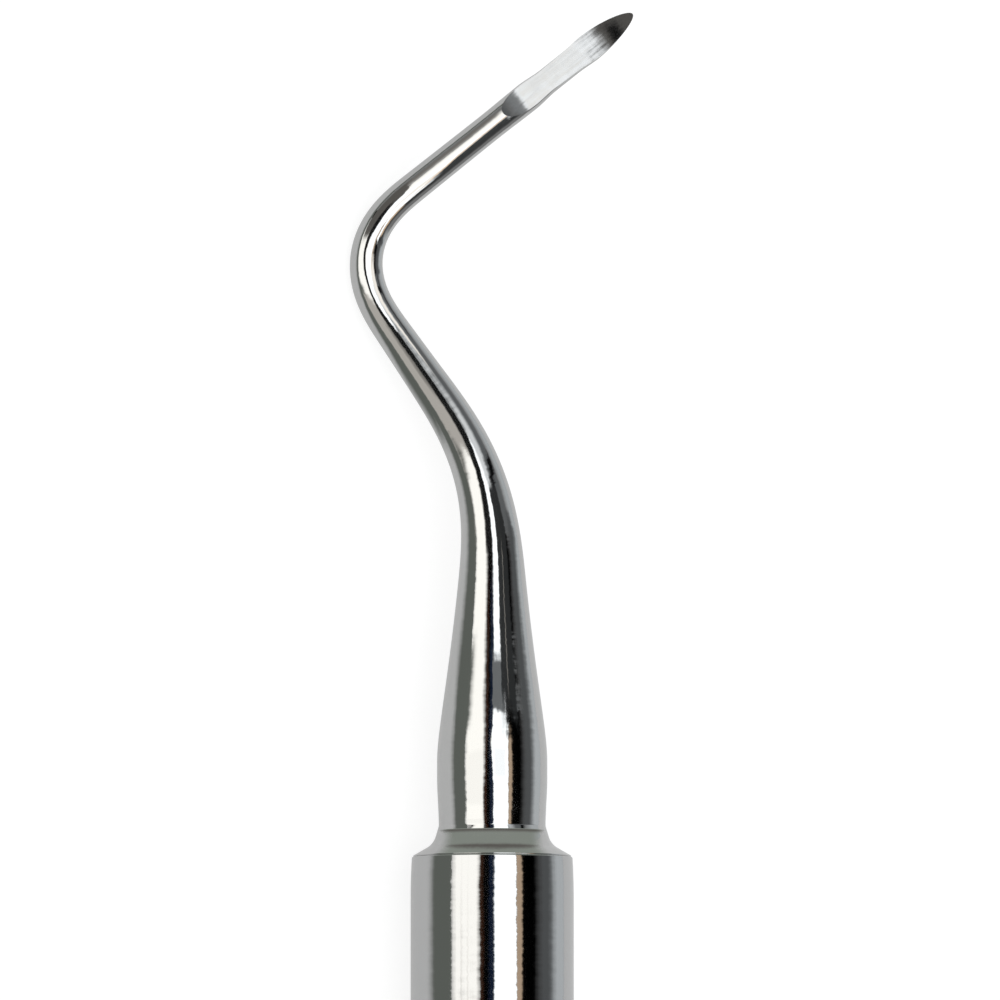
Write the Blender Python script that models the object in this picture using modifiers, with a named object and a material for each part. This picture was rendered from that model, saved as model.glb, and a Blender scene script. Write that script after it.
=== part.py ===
"""Root tip pick: a single-ended hand instrument that lifts broken root tips.

A hollow steel handle carries one working end, whose tang is pressed into the front
of the tube, and a plug closes the butt. The working end is turned to a long taper,
bent twice in one plane and ground on one side to a half-round spear blade.

The instrument is modelled along +X from the butt, with its bends in the XY plane
and the ground face looking up. Its parent then turns it round and lays it down as
it comes to rest, rolled until the outer bend touches what the handle lies on.
"""

import math

import bpy
from mathutils import Matrix, Vector

MM = 0.001

# Handle: a plain drawn tube. Polishing has rounded its front end off over a short length
HANDLE_DIAMETER = 9.5 * MM
TUBE_LENGTH = 113.5 * MM
TUBE_WALL = 0.8 * MM
TUBE_FRONT_LIP_RADIUS = 0.06 * MM
TUBE_FRONT_FALL = 0.07 * MM
TUBE_FRONT_LENGTH = 2.4 * MM

# Where the tube meets the butt plug, both edges are broken, which leaves a fine groove
SEAM_RADIUS = 0.2 * MM

# Butt plug
BUTT_CAP_THICKNESS = 2.5 * MM
BUTT_EDGE_RADIUS = 0.9 * MM
BUTT_TANG_LENGTH = 8 * MM

# Both tangs sit in the bore with this much room all round, filled by the braze
TANG_CLEARANCE = 0.02 * MM
TANG_CHAMFER = 0.5 * MM
TANG_LENGTH = 12 * MM

# Shoulder: a cone that springs from just inside the tube's lip, a hollow fillet, and a slight
# flare that runs into the neck. The cone's slope is measured from the seat, the flare's from the axis
SHOULDER_INSET = 0.15 * MM
SHOULDER_SLOPE = math.radians(30)
SHOULDER_EDGE_RADIUS = 0.06 * MM
SHOULDER_FILLET = 1.13 * MM
FLARE_SLOPE = math.radians(17)
FLARE_LENGTH = 0.57 * MM
FLARE_FILLET = 0.35 * MM
# The most of the step up to the rim that the fillet may take, so that some cone is left
FILLET_SHARE = 0.9

# Neck, a little waisted behind the shoulder. Its end is measured from the shoulder's seat
NECK_RADIUS = 3.21 * MM
NECK_WAIST = 0.1 * MM
NECK_WAIST_LENGTH = 2.7 * MM
NECK_END = 5.5 * MM

# Shank: a cone at first, which fades into the slim end. The taper length is the distance in
# which the thickness to be lost falls to about a third
SHANK_RADIUS = 0.78 * MM
TAPER_EASE = 1.1 * MM
TAPER_LENGTH = 12.9 * MM
TAPER_FADE = 1.15

# Bends, both in one plane. Lengths are measured along the shank's centre line
FIRST_BEND_START = 15.66 * MM
FIRST_BEND_LENGTH = 12.99 * MM
FIRST_BEND_ANGLE = math.radians(34.7)
STRAIGHT_BETWEEN_BENDS = 3.46 * MM
SECOND_BEND_LENGTH = 9.94 * MM
SECOND_BEND_ANGLE = math.radians(86.1)
STRAIGHT_TO_TIP = 16.43 * MM

# Blade outline, from the tip backwards: nose, leaf, waist and heel
NOSE_LENGTH = 3.37 * MM
NOSE_FULLNESS = 1.7
NOSE_BLUNTNESS = 0.68
LEAF_RADIUS = 0.84 * MM
LEAF_SWELL_LENGTH = 1.4 * MM
WAIST_RADIUS = 0.765 * MM
WAIST_LENGTH = 1.7 * MM
HEEL_FALL_LENGTH = 1.6 * MM
HEEL_RADIUS = 0.872 * MM
HEEL_RISE_LENGTH = 2.9 * MM

# Ground face: a wheel's hollow where it enters, a long flat, and a nose that drops to the edge
FACE_LENGTH = 9.78 * MM
FACE_TURN = math.radians(5)
WHEEL_RADIUS = 4.1 * MM
WHEEL_ENTRY_ANGLE = math.radians(25)
FLAT_SLOPE = math.radians(3)
FACE_NOSE_LENGTH = 4.35 * MM
FACE_NOSE_SLOPE = math.radians(9)

# Fineness of the solids
SIDES = 48
EDGE_STEPS = 3
FRONT_STEPS = 4
FILLET_STEPS = 6
WAIST_STEPS = 6
TAPER_STEP = 0.85 * MM
BEND_STEP = 0.68 * MM
STRAIGHT_STEP = 1.2 * MM
BLADE_STEP = 0.36 * MM
NOSE_STEPS = 12
GUIDE_STEP = 0.1 * MM
FACE_STEPS = 8
MERGE = 0.001 * MM
SHARP_ANGLE = math.radians(28)

HANDLE_RADIUS = HANDLE_DIAMETER / 2
BORE_RADIUS = HANDLE_RADIUS - TUBE_WALL
TANG_RADIUS = BORE_RADIUS - TANG_CLEARANCE
SEAT_X = BUTT_CAP_THICKNESS + TUBE_LENGTH
FIRST_BEND_END = FIRST_BEND_START + FIRST_BEND_LENGTH
SECOND_BEND_START = FIRST_BEND_END + STRAIGHT_BETWEEN_BENDS
SECOND_BEND_END = SECOND_BEND_START + SECOND_BEND_LENGTH
TIP = SECOND_BEND_END + STRAIGHT_TO_TIP

COLLECTION_NAME = "root_tip_pick"


def ease(share):
    """A smooth step from 0 to 1, level at both ends."""
    share = min(max(share, 0.0), 1.0)
    return share * share * (3 - 2 * share)


def evenly(start, end, step):
    """Places from start up to, but not at, the end, no further apart than the step."""
    count = max(1, math.ceil((end - start) / step))
    return [start + (end - start) * i / count for i in range(count)]


def arc(centre_x, centre_r, radius, start, end, steps):
    """Points of an arc in the profile plane, angles measured from +X towards the outside."""
    points = []
    for i in range(steps + 1):
        angle = start + (end - start) * i / steps
        points.append((centre_x + radius * math.cos(angle), centre_r + radius * math.sin(angle)))
    return points


def clear_scene():
    for obj in list(bpy.data.objects):
        bpy.data.objects.remove(obj, do_unlink=True)


def new_collection(name):
    collection = bpy.data.collections.new(name)
    bpy.context.scene.collection.children.link(collection)
    return collection


def steel(name, colour, roughness):
    material = bpy.data.materials.new(name)
    material.use_nodes = True
    shader = material.node_tree.nodes["Principled BSDF"]
    shader.inputs["Base Color"].default_value = (*colour, 1)
    shader.inputs["Metallic"].default_value = 1
    shader.inputs["Roughness"].default_value = roughness
    return material


def turned(name, profile, collection):
    """A body turned about the X axis from a profile of (x, radius) that runs towards +X."""
    mesh = bpy.data.meshes.new(name)
    points = [(x, 0, max(radius, 0)) for x, radius in profile]
    mesh.from_pydata(points, [(i, i + 1) for i in range(len(points) - 1)], [])
    obj = bpy.data.objects.new(name, mesh)
    collection.objects.link(obj)
    screw = obj.modifiers.new("Turn", "SCREW")
    screw.axis = "X"
    screw.steps = SIDES
    screw.render_steps = SIDES
    screw.use_merge_vertices = True
    screw.merge_threshold = MERGE
    screw.use_normal_calculate = True
    return obj


def settled(obj, material):
    """Keeps the shape that the modifiers give, smooth but for its real edges."""
    bpy.context.view_layer.update()
    graph = bpy.context.evaluated_depsgraph_get()
    mesh = bpy.data.meshes.new_from_object(obj.evaluated_get(graph))
    obj.modifiers.clear()
    obj.data = mesh
    mesh.name = obj.name
    mesh.materials.clear()
    mesh.materials.append(material)
    mesh.shade_smooth()
    mesh.set_sharp_from_angle(angle=SHARP_ANGLE)
    return obj


# The shank's centre line


def turn_at(path):
    """How far the shank has turned away from the handle's axis, towards -Y, at this path length."""
    first = ease((path - FIRST_BEND_START) / FIRST_BEND_LENGTH)
    second = ease((path - SECOND_BEND_START) / SECOND_BEND_LENGTH)
    return SECOND_BEND_ANGLE * second - FIRST_BEND_ANGLE * first


def centre_line():
    """(path length, point) all along the shank, from the shoulder's seat to the tip."""
    places = evenly(0, TIP, GUIDE_STEP) + [TIP]
    point = Vector((0, 0, 0))
    line = [(0, point.copy())]
    for before, after in zip(places, places[1:]):
        turn = turn_at((before + after) / 2)
        point += (after - before) * Vector((math.cos(turn), -math.sin(turn), 0))
        line.append((after, point.copy()))
    return line


def point_at(line, path):
    """The point of the centre line at this path length."""
    for (before, start), (after, end) in zip(line, line[1:]):
        if after >= path:
            return start.lerp(end, (path - before) / (after - before))
    return line[-1][1]


# The shank's thickness


def taper_radius(path):
    """The tapered shank, whose blend from the neck is eased over a short length."""
    along = max(path - NECK_END, 0)
    fallen = (math.hypot(along, TAPER_EASE) - TAPER_EASE) / TAPER_LENGTH
    return SHANK_RADIUS + (NECK_RADIUS - SHANK_RADIUS) * math.exp(-(fallen**TAPER_FADE))


def blade_stations():
    """(path length, radius) where the blade's outline is level, from the tip backwards."""
    leaf = TIP - NOSE_LENGTH
    waist_front = leaf - LEAF_SWELL_LENGTH
    waist_back = waist_front - WAIST_LENGTH
    heel = waist_back - HEEL_FALL_LENGTH
    start = heel - HEEL_RISE_LENGTH
    return [
        (leaf, LEAF_RADIUS),
        (waist_front, WAIST_RADIUS),
        (waist_back, WAIST_RADIUS),
        (heel, HEEL_RADIUS),
        (start, taper_radius(start)),
    ]


def nose_radius(share):
    """The pointed nose, from the leaf at 0 to the tip at 1."""
    return LEAF_RADIUS * max(0, 1 - share**NOSE_FULLNESS) ** NOSE_BLUNTNESS


def section_radius(path):
    """Half the shank's thickness at this path length, before the face is ground."""
    stations = blade_stations()
    if path >= stations[0][0]:
        return nose_radius(min(1, (path - stations[0][0]) / NOSE_LENGTH))
    for (front, front_radius), (back, back_radius) in zip(stations, stations[1:]):
        if path >= back:
            return back_radius + (front_radius - back_radius) * ease((path - back) / (front - back))
    return taper_radius(path)


def shoulder_profile():
    """From the tang's end over the seat, the cone and the flare to the neck's full radius."""
    rim = HANDLE_RADIUS - SHOULDER_INSET
    root = NECK_RADIUS - NECK_WAIST
    turning = math.pi / 2 - SHOULDER_SLOPE
    edge = SHOULDER_EDGE_RADIUS
    flare_foot = root + FLARE_FILLET * (1 - math.cos(FLARE_SLOPE))
    flare_top = flare_foot + FLARE_LENGTH * math.tan(FLARE_SLOPE)
    climb = math.cos(FLARE_SLOPE) - math.cos(turning)
    fillet = min(SHOULDER_FILLET, FILLET_SHARE * (rim - flare_top) / climb)
    cone_top = flare_top + fillet * climb
    cone_foot = rim - edge * (1 - math.sin(turning))
    cone_x = edge * (1 + math.cos(turning)) + (cone_foot - cone_top) * math.tan(SHOULDER_SLOPE)
    fillet_x = cone_x + fillet * math.sin(turning)
    neck_x = fillet_x + (FLARE_FILLET - fillet) * math.sin(FLARE_SLOPE) + FLARE_LENGTH
    down = -math.pi / 2
    profile = [(-TANG_LENGTH, 0), (-TANG_LENGTH, TANG_RADIUS - TANG_CHAMFER)]
    profile += [(-TANG_LENGTH + TANG_CHAMFER, TANG_RADIUS), (0, TANG_RADIUS), (0, rim - edge)]
    profile += arc(edge, rim - edge, edge, math.pi, turning, EDGE_STEPS)[1:]
    centre_r = cone_top + fillet * math.cos(turning)
    profile += arc(fillet_x, centre_r, fillet, down - turning, down - FLARE_SLOPE, FILLET_STEPS)
    profile += arc(neck_x, root + FLARE_FILLET, FLARE_FILLET, down - FLARE_SLOPE, down, EDGE_STEPS)
    for i in range(1, WAIST_STEPS + 1):
        share = i / WAIST_STEPS
        profile.append((neck_x + NECK_WAIST_LENGTH * share, root + NECK_WAIST * ease(share)))
    return profile


def blank_profile():
    """The whole working end as it leaves the lathe, straight."""
    profile = shoulder_profile()
    stations = blade_stations()
    places = evenly(NECK_END, NECK_END + 2 * TAPER_EASE, TAPER_EASE / 2)
    places += evenly(NECK_END + 2 * TAPER_EASE, FIRST_BEND_START, TAPER_STEP)
    places += evenly(FIRST_BEND_START, FIRST_BEND_END, BEND_STEP)
    places += evenly(FIRST_BEND_END, SECOND_BEND_START, STRAIGHT_STEP)
    places += evenly(SECOND_BEND_START, SECOND_BEND_END, BEND_STEP)
    places += evenly(SECOND_BEND_END, stations[-1][0], STRAIGHT_STEP)
    places += evenly(stations[-1][0], stations[0][0], BLADE_STEP)
    profile += [(path, section_radius(path)) for path in places]
    for i in range(NOSE_STEPS + 1):
        share = math.sin(math.pi / 2 * i / NOSE_STEPS)
        profile.append((stations[0][0] + NOSE_LENGTH * share, nose_radius(share)))
    return profile


def tube_profile():
    """A closed ring section: bore, rear edge, outside, then the rounded-off front end."""
    front = SEAT_X
    rear = BUTT_CAP_THICKNESS
    seam = SEAM_RADIUS
    lip = TUBE_FRONT_LIP_RADIUS
    profile = [(front, BORE_RADIUS), (rear, BORE_RADIUS)]
    profile += arc(rear + seam, HANDLE_RADIUS - seam, seam, math.pi, math.pi / 2, EDGE_STEPS)
    for i in range(FRONT_STEPS):
        share = i / FRONT_STEPS
        place = front - lip - TUBE_FRONT_LENGTH * (1 - share)
        profile.append((place, HANDLE_RADIUS - TUBE_FRONT_FALL * share**2))
    profile += arc(front - lip, HANDLE_RADIUS - TUBE_FRONT_FALL - lip, lip, math.pi / 2, 0, EDGE_STEPS)
    profile.append(profile[0])
    return profile


def plug_profile():
    """Flat butt face, rounded edge, cap, then the tang in the bore."""
    edge = BUTT_EDGE_RADIUS
    seam = SEAM_RADIUS
    tang_end = BUTT_CAP_THICKNESS + BUTT_TANG_LENGTH
    profile = [(0, 0)]
    profile += arc(edge, HANDLE_RADIUS - edge, edge, math.pi, math.pi / 2, 2 * EDGE_STEPS)
    profile += arc(BUTT_CAP_THICKNESS - seam, HANDLE_RADIUS - seam, seam, math.pi / 2, 0, EDGE_STEPS)
    profile += [(BUTT_CAP_THICKNESS, TANG_RADIUS), (tang_end - TANG_CHAMFER, TANG_RADIUS)]
    profile += [(tang_end, TANG_RADIUS - TANG_CHAMFER), (tang_end, 0)]
    return profile


# The ground face


def face_line():
    """(distance from the face's start, height above the blade's axis) along the ground face."""
    start_height = section_radius(TIP - FACE_LENGTH)
    entry_sine = math.sin(WHEEL_ENTRY_ANGLE)
    hollow_length = WHEEL_RADIUS * (entry_sine - math.sin(FLAT_SLOPE))
    line = []
    for place in evenly(0, hollow_length, hollow_length / FACE_STEPS):
        slope = math.asin(entry_sine - place / WHEEL_RADIUS)
        drop = WHEEL_RADIUS * (math.cos(slope) - math.cos(WHEEL_ENTRY_ANGLE))
        line.append((place, start_height - drop))
    hollow_drop = WHEEL_RADIUS * (math.cos(FLAT_SLOPE) - math.cos(WHEEL_ENTRY_ANGLE))
    height = start_height - hollow_drop
    line.append((hollow_length, height))
    flat_length = FACE_LENGTH - FACE_NOSE_LENGTH - hollow_length
    height -= flat_length * math.tan(FLAT_SLOPE)
    gain = (math.tan(FACE_NOSE_SLOPE) - math.tan(FLAT_SLOPE)) / 2
    for i in range(FACE_STEPS + 1):
        share = i / FACE_STEPS
        drop = FACE_NOSE_LENGTH * (math.tan(FLAT_SLOPE) * share + gain * share * share)
        line.append((FACE_LENGTH - FACE_NOSE_LENGTH * (1 - share), height - drop))
    return line


def face_cutter(line, collection, parent):
    """What the wheel takes away: all that lies above the face line, wider than the blade."""
    room = 2 * HEEL_RADIUS
    face = face_line()
    first = face[0]
    last = face[-1]
    outline = [(first[0] - room, first[1] + room * math.tan(WHEEL_ENTRY_ANGLE))]
    outline += face
    outline += [(last[0] + room, last[1] - room * math.tan(FACE_NOSE_SLOPE))]
    outline += [(last[0] + room, 2 * room), (first[0] - room, 2 * room)]
    mesh = bpy.data.meshes.new("face_cutter")
    mesh.from_pydata([(x, 0, z) for x, z in outline], [], [range(len(outline))])
    cutter = bpy.data.objects.new("face_cutter", mesh)
    collection.objects.link(cutter)
    thickness = cutter.modifiers.new("Width", "SOLIDIFY")
    thickness.thickness = 2 * room
    thickness.offset = 0
    cutter.hide_render = True
    cutter.display_type = "WIRE"
    cutter.parent = parent
    start = point_at(line, TIP - FACE_LENGTH) + Vector((SEAT_X, 0, 0))
    heading = Matrix.Rotation(-turn_at(TIP), 4, "Z")
    turn = Matrix.Rotation(-FACE_TURN, 4, "X")
    cutter.matrix_local = Matrix.Translation(start) @ heading @ turn
    return cutter


def bend_guide(line, collection, parent):
    """The centre line as a flat curve that bends the straight blank."""
    curve = bpy.data.curves.new("bend_guide", "CURVE")
    curve.dimensions = "2D"
    spline = curve.splines.new("POLY")
    spline.points.add(len(line) - 1)
    for target, (_, point) in zip(spline.points, line):
        target.co = (*point, 1)
    guide = bpy.data.objects.new("bend_guide", curve)
    collection.objects.link(guide)
    guide.hide_render = True
    guide.display_type = "WIRE"
    guide.parent = parent
    guide.location.x = SEAT_X
    return guide


def rest_roll(line):
    """How far the instrument rolls before the outer bend touches what the handle lies on."""
    rolls = []
    for path, point in line:
        reach = point.y
        if reach > HANDLE_RADIUS - section_radius(path):
            rolls.append(math.asin((HANDLE_RADIUS - section_radius(path)) / reach))
    return min(rolls, default=math.pi / 2)


def make_handle_tube(collection, parent, material):
    tube = turned("handle_tube", tube_profile(), collection)
    tube.parent = parent
    return settled(tube, material)


def make_butt_plug(collection, parent, material):
    plug = turned("butt_plug", plug_profile(), collection)
    plug.parent = parent
    return settled(plug, material)


def make_working_end(line, collection, helpers, parent, material):
    """Turned, bent along the guide, then ground."""
    working_end = turned("working_end", blank_profile(), collection)
    working_end.parent = parent
    working_end.location.x = SEAT_X
    bend = working_end.modifiers.new("Bend", "CURVE")
    bend.object = bend_guide(line, helpers, parent)
    bend.deform_axis = "POS_X"
    grind = working_end.modifiers.new("Grind face", "BOOLEAN")
    grind.operation = "DIFFERENCE"
    grind.solver = "EXACT"
    grind.object = face_cutter(line, helpers, parent)
    return settled(working_end, material)


def main():
    clear_scene()
    parts = new_collection(COLLECTION_NAME)
    helpers = new_collection("cutters_and_guides")
    polished = steel("polished_steel", (0.62, 0.62, 0.61), 0.12)
    polished_handle = steel("polished_handle_steel", (0.6, 0.6, 0.6), 0.1)
    polished_butt = steel("polished_butt_steel", (0.6, 0.6, 0.6), 0.14)

    line = centre_line()
    lie = bpy.data.objects.new("lie", None)
    parts.objects.link(lie)
    lie.rotation_euler = (-rest_roll(line), 0, math.pi)

    make_handle_tube(parts, lie, polished_handle)
    make_butt_plug(parts, lie, polished_butt)
    make_working_end(line, parts, helpers, lie, polished)


main()
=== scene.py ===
"""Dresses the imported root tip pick: its fine shape, its steel, and a small studio round it."""

import math

import bmesh
import bpy
import numpy as np
from bpy.props import FloatProperty, FloatVectorProperty, IntProperty, PointerProperty
from mathutils import Matrix, Vector


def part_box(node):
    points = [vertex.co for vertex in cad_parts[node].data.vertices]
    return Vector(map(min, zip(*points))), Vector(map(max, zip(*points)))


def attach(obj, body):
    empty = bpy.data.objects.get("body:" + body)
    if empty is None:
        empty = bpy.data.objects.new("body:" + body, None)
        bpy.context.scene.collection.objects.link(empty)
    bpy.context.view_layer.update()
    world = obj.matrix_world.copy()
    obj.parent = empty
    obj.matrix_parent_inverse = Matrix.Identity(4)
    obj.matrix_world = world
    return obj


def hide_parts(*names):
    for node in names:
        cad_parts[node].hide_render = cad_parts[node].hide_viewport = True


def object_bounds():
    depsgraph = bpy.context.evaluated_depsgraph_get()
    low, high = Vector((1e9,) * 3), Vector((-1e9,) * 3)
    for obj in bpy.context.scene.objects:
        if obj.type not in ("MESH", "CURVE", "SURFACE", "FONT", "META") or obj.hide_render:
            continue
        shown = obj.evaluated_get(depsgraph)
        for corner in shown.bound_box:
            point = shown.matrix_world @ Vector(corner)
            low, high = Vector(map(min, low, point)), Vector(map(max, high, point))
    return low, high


bl_info = {
    "name": "Root tip pick",
    "version": (1, 0, 0),
    "blender": (4, 5, 0),
    "location": "3D View > Sidebar > Root tip pick",
    "description": "A hollow-handled steel pick with a bent, tapered shank and a ground spear blade",
    "category": "Add Mesh",
}

MM = 0.001

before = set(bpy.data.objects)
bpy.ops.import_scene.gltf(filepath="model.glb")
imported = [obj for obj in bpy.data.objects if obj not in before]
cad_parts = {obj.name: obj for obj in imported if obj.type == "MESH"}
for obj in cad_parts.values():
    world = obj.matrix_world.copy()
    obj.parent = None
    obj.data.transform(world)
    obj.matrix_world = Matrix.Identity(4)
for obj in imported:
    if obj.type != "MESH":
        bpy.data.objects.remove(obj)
CAD_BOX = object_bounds()
TUBE_LOW, TUBE_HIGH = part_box("handle_tube")
HANDLE_DIAMETER_MM = round((TUBE_HIGH.z - TUBE_LOW.z) / MM, 1)
TUBE_LENGTH_MM = round((TUBE_HIGH.x - TUBE_LOW.x) / MM, 2)
BUTT_CAP_MM = round((CAD_BOX[1].x - TUBE_HIGH.x) / MM, 2)


def length(name, text, millimetres):
    size = millimetres * MM
    return FloatProperty(name=name, description=text, default=size, min=0, unit="LENGTH", precision=5)


def angle(name, text, degrees):
    return FloatProperty(name=name, description=text, default=math.radians(degrees), unit="ROTATION")


def share(name, text, value):
    return FloatProperty(name=name, description=text, default=value, min=0)


def colour(name, text, value):
    return FloatVectorProperty(
        name=name, description=text, default=value, size=3, min=0, max=1, subtype="COLOR"
    )


class PickHandleSizes(bpy.types.PropertyGroup):
    """The hollow handle and the plug that closes it."""

    diameter: length("Diameter", "Outside of the handle tube", HANDLE_DIAMETER_MM)
    tube_length: length("Tube length", "From the butt plug's cap to the front", TUBE_LENGTH_MM)
    wall: length("Wall", "Thickness of the tube", 0.8)
    front_lip: length("Front lip", "Radius of the tube's front edge", 0.06)
    front_fall: length("Front fall", "How much polishing took off the front end", 0.07)
    front_length: length("Front fall length", "Length over which the front is polished down", 2.4)
    seam: length("Seam edge", "Radius of both edges where tube and plug meet", 0.2)
    cap: length("Butt cap", "Thickness of the plug's cap", BUTT_CAP_MM)
    butt_edge: length("Butt edge", "Radius round the butt face", 0.9)
    butt_tang: length("Butt tang", "Length of the plug's tang", 8)
    clearance: length("Tang clearance", "Room round both tangs in the bore", 0.02)
    tang_chamfer: length("Tang chamfer", "Chamfer on the end of both tangs", 0.5)
    sides: IntProperty(name="Sides", description="Facets round the handle", default=192, min=24)


class PickEndSizes(bpy.types.PropertyGroup):
    """The working end: shoulder, neck, taper, bends and blade."""

    tang: length("Tang", "Length of the tang in the handle", 12)
    shoulder_inset: length("Shoulder inset", "How far the rim stands back from the handle's side", 0.15)
    shoulder_slope: angle("Shoulder slope", "Cone, measured from its seat", 30)
    shoulder_edge: length("Shoulder edge", "Radius of the rim", 0.06)
    shoulder_fillet: length("Shoulder fillet", "Radius of the hollow below the cone", 1.13)
    flare_slope: angle("Flare slope", "Flare between fillet and neck", 17)
    flare_length: length("Flare length", "Length of the flare", 0.57)
    flare_fillet: length("Flare fillet", "Radius where the flare meets the neck", 0.35)
    neck_radius: length("Neck radius", "Half the neck's thickness", 3.21)
    neck_waist: length("Neck waist", "How much slimmer the neck is at its root", 0.1)
    neck_waist_length: length("Neck waist length", "Length of the waist", 2.7)
    neck_end: length("Neck end", "Distance from the seat to the taper", 5.5)
    shank_radius: length("Shank radius", "Half the slim end's thickness", 0.78)
    taper_ease: length("Taper ease", "Softness of the start of the taper", 1.1)
    taper_length: length("Taper length", "Distance in which the taper falls to about a third", 12.9)
    taper_fade: share("Taper fade", "How soon the taper fades out", 1.15)
    first_bend_start: length("First bend start", "Path length to the first bend", 15.66)
    first_bend_length: length("First bend length", "Path length of the first bend", 12.99)
    first_bend: angle("First bend", "Angle of the first bend", 34.7)
    between_bends: length("Between bends", "Straight between both bends", 3.46)
    second_bend_length: length("Second bend length", "Path length of the second bend", 9.94)
    second_bend: angle("Second bend", "Angle of the second bend", 86.1)
    to_tip: length("To tip", "Straight from the second bend to the tip", 16.43)
    nose_length: length("Nose length", "Length of the pointed nose", 3.37)
    nose_fullness: share("Nose fullness", "How full the nose stays at first", 1.7)
    nose_bluntness: share("Nose bluntness", "How round the point is", 0.68)
    leaf_radius: length("Leaf radius", "Half the blade's width", 0.84)
    leaf_swell: length("Leaf swell", "Length from waist to leaf", 1.4)
    waist_radius: length("Waist radius", "Half the waist's width", 0.765)
    waist_length: length("Waist length", "Length of the waist", 1.7)
    heel_fall: length("Heel fall", "Length from heel to waist", 1.6)
    heel_radius: length("Heel radius", "Half the heel's width", 0.872)
    heel_rise: length("Heel rise", "Length from shank to heel", 2.9)
    face_length: length("Face length", "Length of the ground face", 9.78)
    face_turn: angle("Face turn", "Turn of the ground face about the blade", 5)
    wheel_radius: length("Wheel radius", "Radius of the hollow where the wheel enters", 4.1)
    wheel_entry: angle("Wheel entry", "Slope at the face's start", 25)
    flat_slope: angle("Flat slope", "Slope of the flat", 3)
    face_nose_length: length("Face nose length", "Length of the drop to the edge", 4.35)
    face_nose_slope: angle("Face nose slope", "Slope of the face at the tip", 9)
    round_parts: IntProperty(
        name="Round parts", description="Facets on a section's round", default=108, min=24
    )
    face_parts: IntProperty(
        name="Face parts", description="Facets across the ground face", default=36, min=4
    )


class PickFinish(bpy.types.PropertyGroup):
    """Colours and polish of the steel."""

    handle: colour("Handle steel", "Polished steel of the handle", (0.6, 0.6, 0.6))
    working: colour("Working steel", "Polished steel of the working end", (0.62, 0.62, 0.615))
    ground: colour("Ground steel", "Steel of the ground face", (0.48, 0.48, 0.48))
    handle_roughness: share("Handle roughness", "Roughness of the handle's polish", 0.06)
    working_roughness: share("Working end roughness", "Roughness of the working end's polish", 0.07)
    ground_roughness: share("Ground roughness", "Roughness of the ground face", 0.14)


class PickStudio(bpy.types.PropertyGroup):
    """Floor, light and camera."""

    distance: length("Camera distance", "From the lens to the pick", 1000)
    view_width: length("View width", "Width of what the camera sees", 58.28)
    lean: angle("Camera lean", "How far the camera leans towards the butt", 3.6)
    ahead: length("Ahead of seat", "Image centre, measured from the shoulder's seat", 20.83)
    aside: length("Aside", "Image centre, measured from the handle's axis", 0.455)
    floor: colour("Floor", "Colour of the floor", (0.8, 0.8, 0.8))
    sky: share("Sky", "Light from all round", 0.62)
    sky_in_steel: share("Sky in steel", "The same, as the steel mirrors it", 0.3)


# Curves and profiles

# Facets along each rounded edge, fillet and fall
RIM_STEPS = 8
SEAM_STEPS = 8
LIP_STEPS = 6
BUTT_EDGE_STEPS = 20
FILLET_STEPS = 20
WAIST_STEPS = 16
FRONT_STEPS = 24
NOSE_STEPS = 60
FACE_START_STEPS = 16
# Spacing of the sections, and the length before the face in which they draw together to its start
CENTRE_LINE_SPACING = 0.05 * MM
NECK_SPACING = 0.3 * MM
TAPER_SPACING = 0.2 * MM
BEND_SPACING = 0.16 * MM
APPROACH = 1.5 * MM
APPROACH_SPACING = 0.1 * MM
FACE_START_LENGTH = 0.5 * MM
FACE_SPACING = 0.06 * MM
# Edges that turn by more than this are left crisp
SHARP_ANGLE = math.radians(35)
# Points nearer than this are one
SAME_PLACE = 1e-7
# Steps of the search for the ground tip, each halving what is left
HALVINGS = 60


def ease(part):
    """A smooth step from 0 to 1, level at both ends."""
    part = min(max(part, 0.0), 1.0)
    return part * part * (3 - 2 * part)


def evenly(start, end, step):
    """Places from start up to, but not at, the end, no further apart than the step."""
    count = max(1, math.ceil((end - start) / step))
    return [start + (end - start) * i / count for i in range(count)]


def arc(centre_x, centre_r, radius, start, end, steps):
    """Points of an arc in the profile plane, angles measured from +X towards the outside."""
    angles = [start + (end - start) * i / steps for i in range(steps + 1)]
    return [(centre_x + radius * math.cos(a), centre_r + radius * math.sin(a)) for a in angles]


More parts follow.
